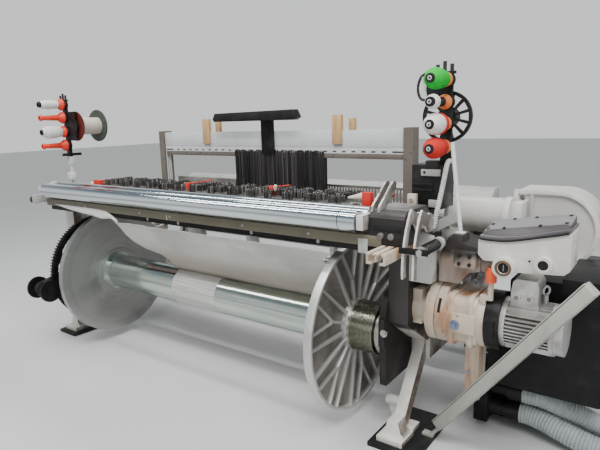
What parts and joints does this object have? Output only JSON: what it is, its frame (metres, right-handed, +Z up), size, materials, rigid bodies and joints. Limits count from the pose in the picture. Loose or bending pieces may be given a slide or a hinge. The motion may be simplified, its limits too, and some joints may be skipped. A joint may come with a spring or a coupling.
{
  "type": "power loom",
  "caption": "Power loom seen from its warp side, with an empty warp beam between cast flanges, back rest rollers, heald frames, drop wires, selvedge creels and an electric drive.",
  "frame": {"origin": "on the floor under the middle of the whole loom's box, free hoses left out", "axes": "+X along the warp beam towards the motor end, +Y from the warp side towards the cloth side, +Z up"},
  "size_m": [3.823, 1.6406, 1.612],
  "materials": {
    "frame_paint": "old white paint, flaking",
    "rubber_black": "matt",
    "olive_paint": "worn olive brown paint",
    "grey_paint": "light grey paint",
    "guide_paint": "brown grey",
    "dark_iron": "dark, oily",
    "cream_paint": "cream paint, rust stained",
    "white_paint": "white paint",
    "lid_paint": "dark grey paint",
    "motor_alloy": "cast",
    "red_plastic": "glossy",
    "black_plastic": "matt",
    "hose_grey": "corrugated",
    "drop_steel": "dark, dusty",
    "cloth": "cotton",
    "creel_black": "black",
    "bobbin_red": "with yarn",
    "cable_white": "spiral wrapped",
    "heald_alloy": "extruded",
    "tan_wood": "bare",
    "steel": "turned",
    "zinc_steel": "galvanised",
    "flange_alloy": "cast and turned",
    "gear_black": "oiled black",
    "arm_paint": "white paint",
    "spool_beige": "yarn and flanges"
  },
  "bodies": {
    "frame": {"right_side_frame": "frame_paint", "left_side_frame": "frame_paint", "floor_pads": "rubber_black", "rear_cross_beam": "olive_paint", "lower_cross_tubes": "grey_paint", "breast_beam": "grey_paint", "harness_guides": "guide_paint", "beam_bearings": "dark_iron", "let_off_bracket": "dark_iron", "back_rest_bracket": "grey_paint", "head_block": "dark_iron", "profile_rail": "cream_paint", "lever_casting": "grey_paint", "bridge_casting": "cream_paint", "gearbox": "cream_paint", "adaptor_ring": "dark_iron", "motor": "motor_alloy", "terminal_box": "motor_alloy", "oil_cap": "red_plastic", "cream_housing": "cream_paint", "housing_lid": "lid_paint", "side_cover": "white_paint", "shaft_housing": "white_paint", "black_covers": "black_plastic", "cable_duct": "grey_paint", "hose_connectors": "black_plastic", "hose_upper": "hose_grey", "hose_lower": "hose_grey", "hose_cuffs": "black_plastic", "stop_motion_rails": "steel", "drop_wires": "drop_steel", "stop_motion_ends": "red_plastic", "leader_cloth": "cloth", "right_creel": "creel_black", "left_creel": "creel_black", "bobbins": "bobbin_red", "wrapped_cable": "cable_white"},
    "warp_beam": {"beam_barrel": "zinc_steel", "left_flange": "flange_alloy", "right_flange": "flange_alloy", "grooved_hub": "steel", "ring_gear": "gear_black"},
    "pinion": {"let_off_pinion": "gear_black"},
    "back_rest": {"back_rest_arms": "arm_paint", "tension_spring": "gear_black"},
    "front_roller": {"front_back_roller": "zinc_steel"},
    "rear_roller": {"rear_back_roller": "zinc_steel"},
    "heald_1": {"heald_frame_1": "heald_alloy", "frame_spacers": "tan_wood", "top_bar": "black_plastic"},
    "heald_2": {"heald_frame_2": "heald_alloy"},
    "heald_3": {"heald_frame_3": "heald_alloy"},
    "sley_body": {"sley": "grey_paint", "reed": "steel"},
    "main_shaft_body": {"main_shaft": "steel"},
    "take_up": {"take_up_roller": "rubber_black"},
    "press": {"press_roller": "rubber_black"},
    "cloth_roll": {"cloth_roller": "steel"},
    "right_selvedge_spool": {"right_spool": "creel_black"},
    "left_selvedge_spool": {"left_spool": "spool_beige"}
  },
  "joints": [
    {"name": "warp_beam_spin", "type": "hinge", "parent": "frame", "child": "warp_beam", "pos_m": [-0.267, -0.35972, 0.45], "axis": [1, 0, 0], "continuous": true},
    {"name": "pinion_spin", "type": "hinge", "parent": "frame", "child": "pinion", "pos_m": [-1.382, -0.75028, 0.38464], "axis": [1, 0, 0], "continuous": true},
    {"name": "back_rest_swing", "type": "hinge", "parent": "frame", "child": "back_rest", "pos_m": [-0.347, -0.48972, 0.99], "axis": [1, 0, 0], "range_deg": [-2.5, 2.5], "stiffness_Nm_per_rad": 30000},
    {"name": "front_roller_spin", "type": "hinge", "parent": "back_rest", "child": "front_roller", "pos_m": [-0.347, -0.59471, 0.99], "axis": [1, 0, 0], "continuous": true},
    {"name": "rear_roller_spin", "type": "hinge", "parent": "back_rest", "child": "rear_roller", "pos_m": [-0.347, -0.48972, 0.99], "axis": [1, 0, 0], "continuous": true},
    {"name": "heald_1_lift", "type": "slide", "parent": "frame", "child": "heald_1", "axis": [0, 0, 1], "range_m": [-0.05, 0.05]},
    {"name": "heald_2_lift", "type": "slide", "parent": "frame", "child": "heald_2", "axis": [0, 0, 1], "range_m": [-0.05, 0.05]},
    {"name": "heald_3_lift", "type": "slide", "parent": "frame", "child": "heald_3", "axis": [0, 0, 1], "range_m": [-0.05, 0.05]},
    {"name": "sley_swing", "type": "hinge", "parent": "frame", "child": "sley_body", "pos_m": [-0.347, 0.40029, 0.42], "axis": [-1, 0, 0], "range_deg": [0, 14]},
    {"name": "main_shaft_spin", "type": "hinge", "parent": "frame", "child": "main_shaft_body", "pos_m": [-0.347, 0.16029, 0.56], "axis": [1, 0, 0], "continuous": true},
    {"name": "take_up_spin", "type": "hinge", "parent": "frame", "child": "take_up", "pos_m": [-0.347, 0.64028, 0.76], "axis": [1, 0, 0], "continuous": true},
    {"name": "press_spin", "type": "hinge", "parent": "frame", "child": "press", "pos_m": [-0.347, 0.55876, 0.67847], "axis": [1, 0, 0], "continuous": true},
    {"name": "cloth_roller_spin", "type": "hinge", "parent": "frame", "child": "cloth_roll", "pos_m": [-0.347, 0.62028, 0.33], "axis": [1, 0, 0], "continuous": true},
    {"name": "right_spool_spin", "type": "hinge", "parent": "frame", "child": "right_selvedge_spool", "pos_m": [1.022, -0.17972, 1.39], "axis": [0, 1, 0], "continuous": true},
    {"name": "left_spool_spin", "type": "hinge", "parent": "frame", "child": "left_selvedge_spool", "pos_m": [-1.5, -0.28972, 1.394], "axis": [0, 1, 0], "continuous": true}
  ],
  "couplings": [
    {"joint": "pinion_spin", "follows": "warp_beam_spin", "ratio": -6.7647},
    {"joint": "press_spin", "follows": "take_up_spin", "ratio": -2.2857}
  ]
}
